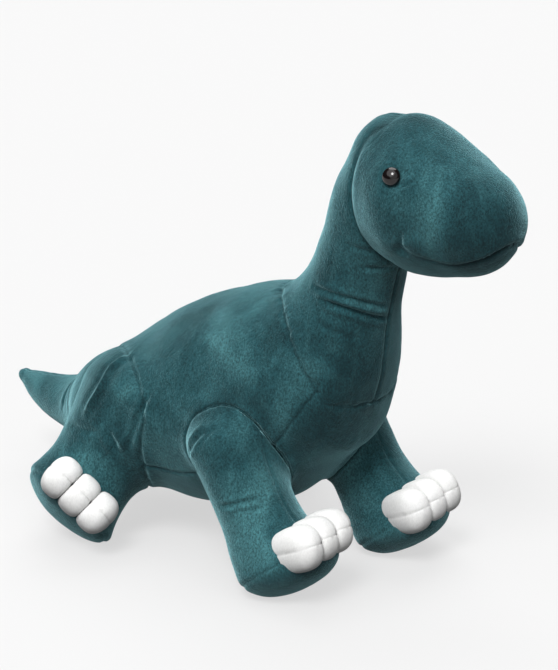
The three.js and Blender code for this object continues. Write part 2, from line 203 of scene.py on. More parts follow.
def leg_frame(leg):
    """Hip, foot and the ways along the leg, out of the sole, to the toes and sideways."""
    flip = np.array([leg["hand"], 1, 1])
    hip, foot = np.array(leg["hip"]) * flip, np.array(leg["foot"]) * flip
    sole_way = unit(np.array(leg["sole_way"]) * flip)
    toe_way, side = square_to(leg, sole_way)
    return hip, foot, unit(foot - hip), sole_way, toe_way, side


def square_to(leg, axis):
    """The toe and side directions of a slice that stands square to an axis."""
    flip = np.array([leg["hand"], 1, 1])
    toe_way = np.array(leg["toe_way"]) * flip
    toe_way = unit(toe_way - axis * (toe_way @ axis))
    return toe_way, np.cross(axis, toe_way) * -leg["hand"]


def leg_rows(leg):
    """Rows of a leg, turning from the way along it to the way out of its sole."""
    hip, foot, along, sole_way, _, _ = leg_frame(leg)
    shares = np.array([s[0] for s in leg["slices"]])
    rows = between_slices(leg["slices"], np.diff(shares) * np.linalg.norm(foot - hip))
    axes, tops, sides = [], [], []
    for share in rows[:, 0]:
        q = eased((share - LEG_TURN) / (1 - LEG_TURN))
        axes.append(unit(along * (1 - q) + sole_way * q))
        top, side = square_to(leg, axes[-1])
        tops.append(top)
        sides.append(side)
    centre = hip + rows[:, :1] * (foot - hip)
    return centre, np.array(axes), np.array(tops), np.array(sides), rows[:, 1:4]


def loft(rows, domes, taper):
    """Cage of a form: points and faces, with one point at each pole. Taper slims the domes."""
    centre, along, top, side, sizes = rows
    girth = 2 * math.pi * sizes.mean(1).max()
    columns = 2 * round(girth / CAGE / 2)
    rings = []

    def add_ring(i, shift, scale):
        phi = np.arange(columns) / columns * 2 * math.pi
        wide, up, down = sizes[i] * scale
        high = np.where(np.cos(phi) > 0, up, down)
        ring = centre[i] + along[i] * shift
        ring = ring + side[i] * (wide * np.sin(phi))[:, None]
        rings.append(ring + top[i] * (high * np.cos(phi))[:, None])

    for way, i, reach in ((-1, 0, domes[0]), (1, len(centre) - 1, domes[1])):
        steps = max(5, round(1.4 * max(reach, sizes[i].mean()) / CAGE))
        angles = [math.pi / 2 * k / steps for k in range(1, steps)]
        if way > 0:
            angles.reverse()
            for k in range(len(centre)):
                add_ring(k, 0, 1)
        for angle in angles:
            shift = math.cos(angle)
            add_ring(i, way * reach * shift, math.sin(angle) * (1 - taper * shift * (1 - shift)))
    poles = [centre[0] - along[0] * domes[0], centre[-1] + along[-1] * domes[1]]
    points = np.concatenate([poles[:1], *rings, poles[1:]])
    faces = []
    for j in range(columns):
        k = (j + 1) % columns
        faces.append((0, 1 + j, 1 + k))
        for r in range(len(rings) - 1):
            low, high = 1 + r * columns, 1 + (r + 1) * columns
            faces.append((low + j, high + j, high + k, low + k))
        last = 1 + (len(rings) - 1) * columns
        faces.append((last + k, last + j, len(points) - 1))
    return points, faces


# ---- working on meshes ------------------------------------------------------
def new_mesh(name, points, faces):
    mesh = bpy.data.meshes.new(name)
    mesh.from_pydata([tuple(p) for p in points], [], faces)
    mesh.update()
    return mesh


def mesh_points(mesh):
    flat = np.empty(len(mesh.vertices) * 3)
    mesh.vertices.foreach_get("co", flat)
    return flat.reshape(-1, 3)


def mesh_faces(mesh):
    return [tuple(p.vertices) for p in mesh.polygons]


def add_object(name, mesh):
    obj = bpy.data.objects.new(name, mesh)
    bpy.context.scene.collection.objects.link(obj)
    return obj


def subdivided(name, points, faces, levels):
    """Points and faces after smooth subdivision."""
    obj = add_object(name, new_mesh(name, points, faces))
    modifier = obj.modifiers.new("subdivide", "SUBSURF")
    modifier.levels = levels
    modifier.render_levels = levels
    evaluated = obj.evaluated_get(bpy.context.evaluated_depsgraph_get())
    mesh = bpy.data.meshes.new_from_object(evaluated)
    found = mesh_points(mesh), mesh_faces(mesh)
    bpy.data.objects.remove(obj, do_unlink=True)
    bpy.data.meshes.remove(mesh)
    return found


def vertex_normals(points, faces):
    """Unit normals of a mesh of triangles and quads."""
    normals = np.zeros_like(points)
    for size in (3, 4):
        chosen = np.array([f for f in faces if len(f) == size])
        if len(chosen):
            one = points[chosen[:, 2]] - points[chosen[:, 0]]
            other = points[chosen[:, -1]] - points[chosen[:, 1]]
            cross = np.cross(one, other)
            for k in range(size):
                np.add.at(normals, chosen[:, k], cross)
    return normals / np.maximum(np.linalg.norm(normals, axis=1), 1e-9)[:, None]


def lattice_noise(points, cell, seed):
    """Smooth noise from -1 to 1 with the given cell size, one value per point."""
    place = np.asarray(points, float) / cell
    base = np.floor(place).astype(np.int64)
    share = place - base
    share = share * share * share * (share * (share * 6 - 15) + 10)
    total = np.zeros(len(place))
    for corner in np.ndindex(2, 2, 2):
        key = (base + corner) * np.array([73856093, 19349663, 83492791])
        mixed = (key[:, 0] ^ key[:, 1] ^ key[:, 2]) + seed * 2654435761
        mixed = (mixed ^ (mixed >> 15)) * 2246822519 & 0xFFFFFFFF
        mixed = (mixed ^ (mixed >> 13)) * 3266489917 & 0xFFFFFFFF
        value = ((mixed ^ (mixed >> 16)) & 0xFFFF) / 32767.5 - 1
        weight = np.where(np.array(corner), share, 1 - share).prod(1)
        total += weight * value
    return total


def curve_distance(points, curve):
    """Distance from each point to a polyline, and how far along it the nearest place is."""
    curve = np.asarray(curve, float)
    best = np.full(len(points), 1e9)
    along = np.zeros(len(points))
    start = 0.0
    for a, b in zip(curve[:-1], curve[1:]):
        span = b - a
        length = np.linalg.norm(span)
        share = np.clip((points - a) @ span / length**2, 0, 1)
        gap = np.linalg.norm(points - (a + share[:, None] * span), axis=1)
        nearer = gap < best
        best = np.where(nearer, gap, best)
        along = np.where(nearer, start + share * length, along)
        start += length
    return best, along


def smooth_curve(curve, step=4.0):
    """Catmull-Rom through the given points."""
    curve = np.asarray(curve, float)
    found = []
    last = len(curve) - 1
    for i in range(last):
        a, b, c, d = curve[max(i - 1, 0)], curve[i], curve[i + 1], curve[min(i + 2, last)]
        count = max(1, round(np.linalg.norm(c - b) / step))
        found += [catmull(a, b, c, d, k / count) for k in range(count)]
    return np.array(found + [curve[-1]])


def past_ring(points, ring, pivot, way):
    """Distance past a sewn ring, positive on the side the way points to, and distance to it."""
    gap, along = curve_distance(points, ring)
    spans = np.diff(ring, axis=0)
    starts = np.concatenate([[0], np.linalg.norm(spans, axis=1).cumsum()])
    piece = np.clip(np.searchsorted(starts, along, "right") - 1, 0, len(spans) - 1)
    tangent = spans[piece] / np.linalg.norm(spans[piece], axis=1)[:, None]
    nearest = ring[piece] + (along - starts[piece])[:, None] * tangent
    sideways = np.cross(tangent, nearest - pivot)
    sideways /= np.linalg.norm(sideways, axis=1)[:, None]
    sideways *= np.sign(sideways @ way)[:, None]
    return ((points - nearest) * sideways).sum(1), gap


def mirrored(curve):
    return [(-x, y, z) for x, y, z in curve]


def on_surface(tree, profile, hand):
    """A side-view (y, z) line laid on a form's left (+1) or right (-1) side."""
    found = []
    for y, z in smooth_curve(profile, 3.0):
        hit = tree.ray_cast(Vector((hand * 200, y, z)), Vector((-hand, 0, 0)))
        if hit[0] is not None:
            found.append(tuple(hit[0]))
    return found


class Cover:
    """One sewn cover: a fine mesh in drawing millimetres and the relief worked into it."""

    def __init__(self, name, rows, domes, merge=0, taper=0.0):
        self.name = name
        self.merge = merge
        self.points, self.faces = loft(rows, domes, taper)
        outwards = (self.points - self.points.mean(0)) * vertex_normals(self.points, self.faces)
        if outwards.sum() < 0:
            self.faces = [face[::-1] for face in self.faces]
        self.gaps = {}  # distance of each point to the neighbours this cover is sewn to

    def refine(self):
        """From the cage to the fine mesh; the distances to neighbours are carried along."""
        cage = self.faces
        self.tree = self.make_tree()
        self.points, self.faces = subdivided(self.name, self.points, cage, SUBDIVISIONS)
        names = list(self.gaps)
        # three distances at a time are subdivided as if they were coordinates
        for first in range(0, len(names), 3):
            group = names[first:first + 3]
            spread = np.stack([self.gaps[group[k % len(group)]] for k in range(3)], 1)
            spread = subdivided(self.name, np.clip(spread, -40, 40), cage, SUBDIVISIONS)[0]
            self.gaps.update(zip(group, spread.T))
        self.relief = np.zeros(len(self.points))
        # how much painted shade each point gets along the seams
        self.seam = np.zeros(len(self.points))

    def laid(self, curve):
        """A smooth curve through the given points, laid on the cover."""
        return np.array([self.tree.find_nearest(tuple(p))[0] for p in smooth_curve(curve, 2.0)])

    def push(self, centre, radius, way):
        """Moves the surface softly around a place."""
        q = np.linalg.norm(self.points - np.array(centre, float), axis=1) / radius
        self.points += ((1 - np.minimum(q, 1) ** 2) ** 2)[:, None] * np.array(way, float)

    def settle(self):
        """Ends the shaping: the outline is final and seams may be laid on it."""
        low = self.points[:, 2]
        flat = GROUND * np.exp((low - GROUND) / GROUND_FADE)
        self.points[:, 2] = np.where(low < GROUND, flat, low)
        self.normals = vertex_normals(self.points, self.faces)

    def make_tree(self):
        return BVHTree.FromPolygons([tuple(p) for p in self.points], self.faces)

    def stitch(self, gap, along, seed, depth, width, pucker, pitch=5.0, fade=1.0, dark=1.0):
        """Sinks a sewn line, gathers the cloth beside it and paints shade along it."""
        groove = np.exp(-((gap / width) ** 2))
        shoulder = np.exp(-(((gap - 3.0 * width) / (2.0 * width)) ** 2))
        line = np.stack([along / pitch, gap / (pitch * 3.5), np.full(len(gap), seed * 7.3)], 1)
        gather = lattice_noise(line, 1.0, seed) * np.exp(-gap / (3.5 * width))
        self.relief += fade * (-depth * groove + 0.25 * depth * shoulder + pucker * gather)
        # painted shade along the seam, broken into dashes like stitches, kept in the seam attribute
        thread = np.stack([along / 2.2, gap * 0, gap * 0], 1)
        dashes = 0.7 + 0.3 * lattice_noise(thread, 1.0, seed)
        line = np.exp(-((gap / (0.6 * width)) ** 2))
        self.seam = np.maximum(self.seam, dark * fade * dashes * line)

    def stitch_curve(self, curve, **look):
        gap, along = curve_distance(self.points, self.laid(curve))
        self.stitch(gap, along, **look)

    def join(self, other, axis_point, axis, **look):
        """Seam where this cover meets a neighbour, gathered round an axis."""
        gap = np.abs(self.gaps[other.name])
        axis = unit(axis)
        first = unit(np.cross(axis, X_AXIS + 0.3))
        second = np.cross(axis, first)
        offset = self.points - np.array(axis_point, float)
        angle = np.arctan2(offset @ second, offset @ first)
        radius = np.hypot(offset @ second, offset @ first)
        self.stitch(gap, angle * np.median(radius[gap < 8]), **look)

    def crease(self, curve, depth, width, shoulder=0.5, ends=6.0):
        """A soft fold along a line, dying out at its ends."""
        curve = self.laid(curve)
        total = np.linalg.norm(np.diff(curve, axis=0), axis=1).sum()
        gap, along = curve_distance(self.points, curve)
        fade = eased(np.minimum(along, total - along) / ends)
        ridge = np.exp(-(((gap - 2.2 * width) / (1.3 * width)) ** 2))
        groove = np.exp(-((gap / width) ** 2))
        self.relief += depth * (shoulder * ridge - groove) * (0.25 + 0.75 * fade)

    def ridge(self, curve, height, width, ends=8.0):
        """A seam that stands up as a soft edge, dying out at its ends."""
        self.crease(curve, -height, width, shoulder=0.3, ends=ends)

    def lumps(self, seed, amount=0.8):
        """Unevenness of the stuffing and of the cloth."""
        for k, (size, share) in enumerate(((34.0, 1.0), (15.0, 0.4), (6.0, 0.1))):
            self.relief += share * amount * lattice_noise(self.points, size, seed + k)

    def build(self, material, slot, replaces):
        """Makes the visual piece, with the attributes that drive its cloth."""
        points = self.points + self.normals * self.relief[:, None]
        points[:, 2] = np.maximum(points[:, 2], 0)
        obj = add_object(self.name, new_mesh(self.name, metres(points), self.faces))
        mesh = obj.data
        mesh.shade_smooth()
        rest = mesh.attributes.new("rest", "FLOAT_VECTOR", "POINT")
        rest.data.foreach_set("vector", metres(self.points).astype(np.float32).ravel())
        # the seam attribute holds the painted shade along the seams, for the material
        seam = mesh.attributes.new("seam", "FLOAT", "POINT")
        seam.data.foreach_set("value", np.clip(self.seam, 0, 1).astype(np.float32))
        mesh.materials.append(material)
        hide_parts(*replaces)
        return obj


def signed_distance(tree, low, high, points):
    """Distance of each point to a closed surface, negative inside, and the way off it."""
    gap = np.full(len(points), 1e3)
    way = np.zeros((len(points), 3))
    near = np.where(((points > low - MARGIN) & (points < high + MARGIN)).all(1))[0]
    for i in near:
        place, normal, _, length = tree.find_nearest(points[i])
        off = points[i] - np.array(place)
        inside = off @ np.array(normal) < 0
        gap[i] = -length if inside else length
        touching = length <= 0.05
        way[i] = normal if touching else off / gap[i]
    return gap, way


NECK_WAY, TAIL_WAY = np.array([0, -0.5, 0.87]), np.array([0, 1, 0])
RING = smooth_curve(NECK_RING + mirrored(NECK_RING)[-2::-1], 3.0)


class Body:
    """All the forms as one smooth surface, so that covers run into each other softly."""

    def __init__(self, covers):
        self.merges = {c.name: c.merge for c in covers}
        self.solids = {c.name: (c.make_tree(), c.points.min(0), c.points.max(0)) for c in covers}

    def distances(self, points):
        return {name: signed_distance(*solid, points) for name, solid in self.solids.items()}

    def merged(self, distances):
        """Signed distance to the joined surface and its gradient."""
        total = way = None
        for name, merge in self.merges.items():
            gap, off = distances[name]
            if total is None:
                total, way = gap, off
                continue
            h = np.clip(merge - np.abs(total - gap), 0, None) / merge
            first = np.where(total < gap, 1 - h / 2, h / 2)
            way = first[:, None] * way + (1 - first)[:, None] * off
            total = np.minimum(total, gap) - h * h * merge / 4
        return total, way

    def fuse(self, cover):
        """Lays a cover on the joined surface; what a neighbour hides is tucked under it."""
        found = self.distances(cover.points)
        gaps = {name: gap for name, (gap, _) in found.items() if name != cover.name}
        depth = np.min(list(gaps.values()), axis=0)
        chosen = np.where((depth < MARGIN) & (depth > -HIDDEN))[0]
        share = np.clip((depth[chosen] + HIDDEN) / HIDDEN_FADE, 0, 1)[:, None]
        points = cover.points[chosen]
        # a few Newton steps onto the joined surface
        for _ in range(5):
            total, way = self.merged(self.distances(points))
            way = way / np.maximum((way * way).sum(1), 0.25)[:, None]
            points = points - np.clip(total, -8, 8)[:, None] * way
        # near the neck ring the side of the ring, not the depth, says which cover is on top
        ring_sides = {"torso_cover": ("neck_cover", -1), "neck_cover": ("torso_cover", 1)}
        if cover.name in ring_sides:
            other, hand = ring_sides[cover.name]
            past, distance = past_ring(points, RING, NECK_PIVOT, NECK_WAY)
            near = distance < RING_REACH
            gaps[other][chosen] = np.where(near, hand * past, gaps[other][chosen])
        depth = np.min(list(gaps.values()), axis=0)[chosen]
        level = -np.minimum(np.maximum(-depth, 0) * TUCK_SHARE, TUCK_MOST)
        points = points + level[:, None] * way / np.linalg.norm(way, axis=1)[:, None]
        cover.gaps = {name: gap for name, gap in gaps.items() if {name, cover.name} in SEWN}
        return chosen, cover.points[chosen] * (1 - share) + points * share


# ---- materials --------------------------------------------------------------
def velour(name, dark, mid, light, sheen_tint, sheen, seam_shade_colour, grain, bump):
    """Short pile, brushed lighter and darker in patches, with painted shade in the seams."""
    material = bpy.data.materials.new(name)
    material.use_nodes = True
    tree = material.node_tree
    tree.nodes.clear()
    link = tree.links.new

    def node(kind, **values):
        made = tree.nodes.new(kind)
        for key, value in values.items():
            setattr(made, key, value)
        return made

    out = node("ShaderNodeOutputMaterial")
    shader = node("ShaderNodeBsdfPrincipled")
    link(shader.outputs[0], out.inputs[0])
    rest = node("ShaderNodeAttribute", attribute_name="rest")
    seam = node("ShaderNodeAttribute", attribute_name="seam")

    def noise(scale, detail, roughness, distortion, stretch=(1, 1, 1)):
        mapping = node("ShaderNodeMapping")
        mapping.inputs["Scale"].default_value = stretch
        link(rest.outputs["Vector"], mapping.inputs["Vector"])
        made = node("ShaderNodeTexNoise")
        made.inputs["Scale"].default_value = scale
        made.inputs["Detail"].default_value = detail
        made.inputs["Roughness"].default_value = roughness
        made.inputs["Distortion"].default_value = distortion
        link(mapping.outputs[0], made.inputs["Vector"])
        return made.outputs["Fac"]

    def ramp(source, *stops):
        made = node("ShaderNodeValToRGB")
        elements = made.color_ramp.elements
        while len(elements) < len(stops):
            elements.new(0.5)
        for element, (place, colour) in zip(elements, stops):
            element.position = place
            element.color = (*colour, 1)
        link(source, made.inputs[0])
        return made.outputs[0]

    def mix(fac, a, b, kind="MIX"):
        made = node("ShaderNodeMix", data_type="RGBA", blend_type=kind)
        for socket, value in ((0, fac), (6, a), (7, b)):
            if isinstance(value, bpy.types.NodeSocket):
                link(value, made.inputs[socket])
            elif socket == 0:
                made.inputs[socket].default_value = value
            else:
                made.inputs[socket].default_value = (*value, 1)
        return made.outputs[2]

    brushed = noise(17, 2.0, 0.5, 0.6)
    streaks = noise(70, 3.0, 0.6, 1.2, (1, 1, 0.5))
    pile = noise(900, 3.0, 0.75, 0.4, (1, 1, 0.6))
    fine = noise(1500, 1.0, 0.5, 0.0)
    base = ramp(brushed, (0.34, dark), (0.5, mid), (0.68, light))
    patchy = ramp(streaks, (0.36, dark), (0.5, mid), (0.66, light))
    base = mix(0.22, base, patchy)
    grain = ramp(pile, (0.38, (1 - grain,) * 3), (0.5, (1.0,) * 3), (0.62, (1 + grain,) * 3))
    base = mix(1.0, base, grain, "MULTIPLY")
    # painted shade: the seam attribute darkens the colour towards the seam's shade colour
    sunk = node("ShaderNodeMath", operation="MULTIPLY")
    sunk.inputs[1].default_value = 0.75
    link(seam.outputs["Fac"], sunk.inputs[0])
    base = mix(sunk.outputs[0], base, seam_shade_colour)
    link(base, shader.inputs["Base Color"])
    shader.inputs["Roughness"].default_value = 0.92
    shader.inputs["Specular IOR Level"].default_value = 0.18
    shader.inputs["Sheen Weight"].default_value = sheen
    shader.inputs["Sheen Roughness"].default_value = 0.32
    shader.inputs["Sheen Tint"].default_value = (*sheen_tint, 1)
    coarse = node("ShaderNodeBump")
    coarse.inputs["Strength"].default_value = bump
    coarse.inputs["Distance"].default_value = 0.0009
    link(pile, coarse.inputs["Height"])
    hairs = node("ShaderNodeBump")
    hairs.inputs["Strength"].default_value = 0.6 * bump
    hairs.inputs["Distance"].default_value = 0.0004
    link(fine, hairs.inputs["Height"])
    link(coarse.outputs[0], hairs.inputs["Normal"])
    link(hairs.outputs[0], shader.inputs["Normal"])
    return material


# each velour's seam colour is the painted shade along its seams
TEAL = velour(
    "teal_velour",
    dark=(0.005, 0.028, 0.034), mid=(0.015, 0.065, 0.076), light=(0.048, 0.150, 0.165),
    sheen_tint=(0.42, 0.85, 0.92), sheen=1.0, seam_shade_colour=(0.003, 0.014, 0.017), grain=0.45, bump=0.7,
)
WHITE = velour(
    "white_velour",
    dark=(0.75, 0.75, 0.74), mid=(0.78, 0.78, 0.77), light=(0.80, 0.80, 0.795),
    sheen_tint=(1.0, 1.0, 1.0), sheen=0.1, seam_shade_colour=(0.40, 0.395, 0.385), grain=0.05, bump=0.12,
)


def moulded(name, colour, roughness, speckle, specular):
    """Plastic with a faint unevenness from the mould."""
    material = bpy.data.materials.new(name)
    material.use_nodes = True
    tree = material.node_tree
    shader = tree.nodes["Principled BSDF"]
    place = tree.nodes.new("ShaderNodeTexCoord")
    noise = tree.nodes.new("ShaderNodeTexNoise")
    noise.inputs["Scale"].default_value = 700
    ramp = tree.nodes.new("ShaderNodeValToRGB")
    ramp.color_ramp.elements[0].color = (*[c * (1 - speckle) for c in colour], 1)
    ramp.color_ramp.elements[1].color = (*[c * (1 + speckle) for c in colour], 1)
    bump = tree.nodes.new("ShaderNodeBump")
    bump.inputs["Strength"].default_value = 0.05
    bump.inputs["Distance"].default_value = 0.0001
    tree.links.new(place.outputs["Object"], noise.inputs["Vector"])
    tree.links.new(noise.outputs["Fac"], ramp.inputs[0])
    tree.links.new(noise.outputs["Fac"], bump.inputs["Height"])
    tree.links.new(ramp.outputs[0], shader.inputs["Base Color"])
    tree.links.new(bump.outputs[0], shader.inputs["Normal"])
    shader.inputs["Roughness"].default_value = roughness
    shader.inputs["Specular IOR Level"].default_value = specular
    return material


EYE_PLASTIC = moulded(
    "eye_plastic", (0.006, 0.004, 0.004), roughness=0.09, speckle=0.4, specular=0.5,
)
WASHER_PLASTIC = moulded(
    "washer_plastic", (0.28, 0.29, 0.3), roughness=0.5, speckle=0.15, specular=0.4,
)

# ---- covers -----------------------------------------------------------------
torso = Cover("torso_cover", trunk_rows(TORSO), TORSO["domes"], TORSO["merge"])
neck = Cover("neck_cover", trunk_rows(NECK), NECK["domes"], NECK["merge"])
head = Cover("head_cover", trunk_rows(HEAD), HEAD["domes"], HEAD["merge"], taper=0.22)
tail = Cover("tail_cover", trunk_rows(TAIL), TAIL["domes"], TAIL["merge"])
legs = {
    name: Cover(name + "_cover", leg_rows(leg), leg["domes"], leg["merge"])
    for name, leg in LEGS.items()
}
covers = [torso, neck, tail, *legs.values(), head]
body = Body(covers)
# every cover is laid before any of them is moved, so that all see the same neighbours
fused = [body.fuse(cover) for cover in covers]
for cover, (chosen, points) in zip(covers, fused):
    cover.points[chosen] = points
    cover.refine()

# the forehead narrows upwards
BROW, CROWN, NARROWING = 297, 333, 0.14
high = eased((head.points[:, 2] - BROW) / (CROWN - BROW))
head.points[:, 0] *= 1 - NARROWING * high
# the cheeks are full, and the eyes and the mouth corners are drawn in
for hand in (1, -1):
    head.push((41 * hand, -76, 302), 12, (-2.4 * hand, 0, 0))
    head.push((40 * hand, -82.5, 253), 8, (-3.4 * hand, 1.0, 0.5))
    head.push((38 * hand, -93, 259), 13, (1.6 * hand, -0.8, 0))
    head.push((40 * hand, -72, 256), 13, (1.6 * hand, 0, -0.5))
# the hollow between the thigh and the belly
for hand in (1, -1):
    for cover in (torso, legs["hind_left"], legs["hind_right"]):
        cover.push((82 * hand, 132, 106), 24, (-4 * hand, 0, 0))
for cover in covers:
    cover.settle()

# seams drawn on the surface: the edge of the belly gusset in side view, and the mouth line from
# its right corner to the middle
BELLY_SEAM = [
    (-25, 160), (-10, 138), (1, 121), (19, 98), (50, 79), (89, 65), (118, 64), (160, 60), (200, 56),
]
MOUTH = [
    (-40, -82, 253.5), (-36, -92, 251.5), (-31.1, -102, 249.5), (-26, -113.3, 249.1),
    (-20, -130.1, 252.5), (-8.2, -142.9, 260.4), (0, -146, 262.5),
]
SOLE_RADIUS = 33  # turns an angle round the sole into a length along its edge
for hand in (1, -1):
    line = on_surface(torso.tree, BELLY_SEAM, hand)
    torso.stitch_curve(line, seed=3, depth=0.9, width=1.2, pucker=0.35)
# seams in the middle plane: the spine, whose seam ends at the flanks, the neck and the tail
x, y, z = torso.points.T
spine_fade = np.clip((z - 120) / 20, 0, 1)
torso.stitch(np.abs(x), y, seed=4, depth=0.35, width=1.0, pucker=0.2, fade=spine_fade)
x, y, z = neck.points.T
neck.stitch(np.abs(x), z, seed=5, depth=0.9, width=1.2, pucker=0.4)
x, y, z = tail.points.T
tail.stitch(np.abs(x), y, seed=6, depth=0.5, width=1.2, pucker=0.35)

# mouth: the upper lip stands over the lower one, less so towards the corners
for curve in (MOUTH, mirrored(MOUTH)):
    line = head.laid(curve)
    gap, along = curve_distance(head.points, line)
    total = np.linalg.norm(np.diff(line, axis=0), axis=1).sum()
    last = len(line) - 1
    nearest = line[np.minimum((along / total * last).round().astype(int), last)]
    above = np.tanh((head.points[:, 2] - nearest[:, 2]) / 1.2)
    off_middle = np.clip(np.abs(head.points[:, 0]) / 14, 0, 1)
    front = np.clip(along / 50, 0, 1) * (0.25 + 0.75 * off_middle)
    head.relief += (0.5 + 0.5 * front) * above * np.exp(-gap / 5.0) * np.clip(along / 8, 0, 1)
    head.stitch(gap, along, seed=7, depth=1.1, width=1.2, pucker=0.1, fade=0.3 + 0.7 * front)
    # painted shadow of the overhanging upper lip, just below the mouth line
    head.seam = np.maximum(head.seam, front * np.exp(-((gap / 2.0) ** 2)) * (above < 0.2))

# seams where one cover is sewn to the next, sunk into both
for one, other, point, way, look in (
    (torso, neck, NECK_PIVOT, NECK_WAY, {"seed": 11, "depth": 0.7, "width": 1.6, "pucker": 0.7}),
    (neck, head, HEAD_PIVOT, NECK_WAY, {"seed": 12, "depth": 1.5, "width": 1.8, "pucker": 0.3}),
    (torso, tail, TAIL_PIVOT, TAIL_WAY, {"seed": 13, "depth": 0.8, "width": 1.6, "pucker": 0.6}),
):
    one.join(other, point, way, **look)
    other.join(one, point, way, **look)
for name, cover in legs.items():
    hip, foot, along, sole_way, toe_way, side = leg_frame(LEGS[name])
    seed = 20 + len(name)
    look = {"seed": seed, "depth": 1.0, "width": 1.6, "pucker": 0.5}
    torso.join(cover, hip, side, **look)
    cover.join(torso, hip, side, **look)
    # the edge of the sole, and the seams between the outer and the inner panel
    offset = cover.points - foot
    level = offset @ sole_way - 5
    if name.startswith("front"):
        level = level + 0.25 * (offset @ toe_way)
    around = np.arctan2(offset @ side, offset @ toe_way) * SOLE_RADIUS
    # dark sets how much painted shade each leg seam gets
    look = {"seed": seed + 1, "depth": 0.7, "width": 1.2, "pucker": 0.45, "dark": 0.5}
    cover.stitch(np.abs(level), around, **look)
    panel_way = square_to(LEGS[name], along)[1]
    panel_fade = np.clip((2 - level) / 4, 0, 1)
    look = {"seed": seed + 2, "depth": 0.4, "width": 1.1, "pucker": 0.35, "dark": 0.35}
    cover.stitch(np.abs(offset @ panel_way), offset @ along, fade=panel_fade, **look)

# folds of the slack cloth: points along the fold, depth and width
NECK_FOLDS = [
    [[(-33.1, -12.3, 205.7), (-27.2, -28.2, 201.5), (-15.4, -37.3, 195.9), (-2.1, -39.8, 191.9)],
     2.4, 1.8],
    [[(-36, -2, 214), (-27.5, -28.4, 209.2), (-18.2, -37, 205.5), (-4.9, -41.2, 201.2)],
     1.8, 1.6],
    [[(-25.1, -36.5, 230.9), (-16.6, -43.9, 230.5), (-4.7, -48.3, 230.2)], 1.3, 1.5],
    [[(-34, -8, 190), (-28, -22, 184), (-20, -30, 181)], 0.8, 2.0],
    [[(-30, -30, 246), (-22, -44, 243), (-10, -50, 242)], 0.9, 1.8],
]
FRONT_RIGHT_FOLDS = [
    [[(-87, 30.8, 63.2), (-83.4, 16.4, 68.3), (-74.1, 7.6, 71.6)], 1.8, 1.6],
    [[(-87, 20.5, 61.7), (-81.2, 9.3, 64.5), (-74, 3, 66)], 1.0, 1.5],
    [[(-83.4, 47, 112.8), (-85.5, 51.6, 109.3), (-86.4, 57.5, 102.3), (-83.4, 63.5, 92.7)],
     2.4, 2.2],
    [[(-79, 40, 116), (-82, 45, 110), (-84, 50, 100)], 1.2, 2.0],
]
THIGH_FOLDS = [
    [[(-90.5, 139.5, 91.5), (-89, 135.2, 83.9), (-85.8, 132.7, 74.7)], 2.4, 2.4],
    [[(-73, 111, 122), (-79, 116, 106), (-80.9, 122.2, 91.7), (-81.1, 126.4, 79.5)], 1.8, 2.2],
    [[(-92.1, 175.2, 86.7), (-94.6, 157.8, 88), (-93.2, 145.9, 89.1)], 1.0, 2.4],
]
THIGH_RIDGE = [
    (-62, 146, 141), (-72.8, 149.9, 130.5), (-84.5, 149, 121.7), (-88.5, 154.3, 110.4),
    (-91.5, 160, 99),
]
TAIL_FOLD = [(-15.5, 250, 84), (-20, 251, 76), (-22, 254, 62)]
# the dimple above each mouth corner and the crease below each eye, drawn for the left side
DIMPLE = [(39.5, -82, 254), (40.5, -83, 259), (41, -84, 267)]
EYE_CREASE = [(41.2, -79, 296.5), (38.7, -84.5, 297.5), (36.2, -89.5, 300.5)]
for fold in NECK_FOLDS:
    neck.crease(*fold)
for sided in (list, mirrored):
    head.crease(sided(DIMPLE), 1.8, 1.6)
    head.crease(sided(EYE_CREASE), 1.6, 1.3)
for fold in FRONT_RIGHT_FOLDS:
    legs["front_right"].crease(*fold)
for cover in (legs["hind_right"], torso):
    for fold in THIGH_FOLDS:
        cover.crease(*fold)
    cover.ridge(THIGH_RIDGE, 2.4, 2.4)
tail.crease(TAIL_FOLD, 1.6, 2.0)

for cover in covers:
    cover.lumps(40)

# ---- pieces -----------------------------------------------------------------
PANELS = {
    "torso": ["side_left", "side_right", "belly", "stuffing"],
    "neck": ["panel_left", "panel_right", "stuffing"],
    "head": ["cheek_left", "cheek_right", "chin", "stuffing"],
    "tail": ["panel_left", "panel_right", "stuffing"],
    "leg": ["outer", "inner", "sole", "stuffing"],
}
# the body above each one, and where its bend zone starts and ends; the loop below only bakes the
# transforms and bends nothing
BENDS = {
    "neck": ("torso", (0, 6, 172.5), (0, -15.4, 209.7)),
    "head": ("neck", (0, -55, 285), (0, -75.7, 292.6)),
    "tail": ("torso", (0, 232, 64), (0, 285, 60)),
}
pieces = {}
for part, cover in (("torso", torso), ("neck", neck), ("head", head), ("tail", tail)):
    replaced = [f"{part}_{panel}" for panel in PANELS[part]]
    pieces[part] = cover.build(TEAL, "teal_velour", replaced)
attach(pieces["torso"], "torso")
for part, (root, start, end) in BENDS.items():
    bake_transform(pieces[part])


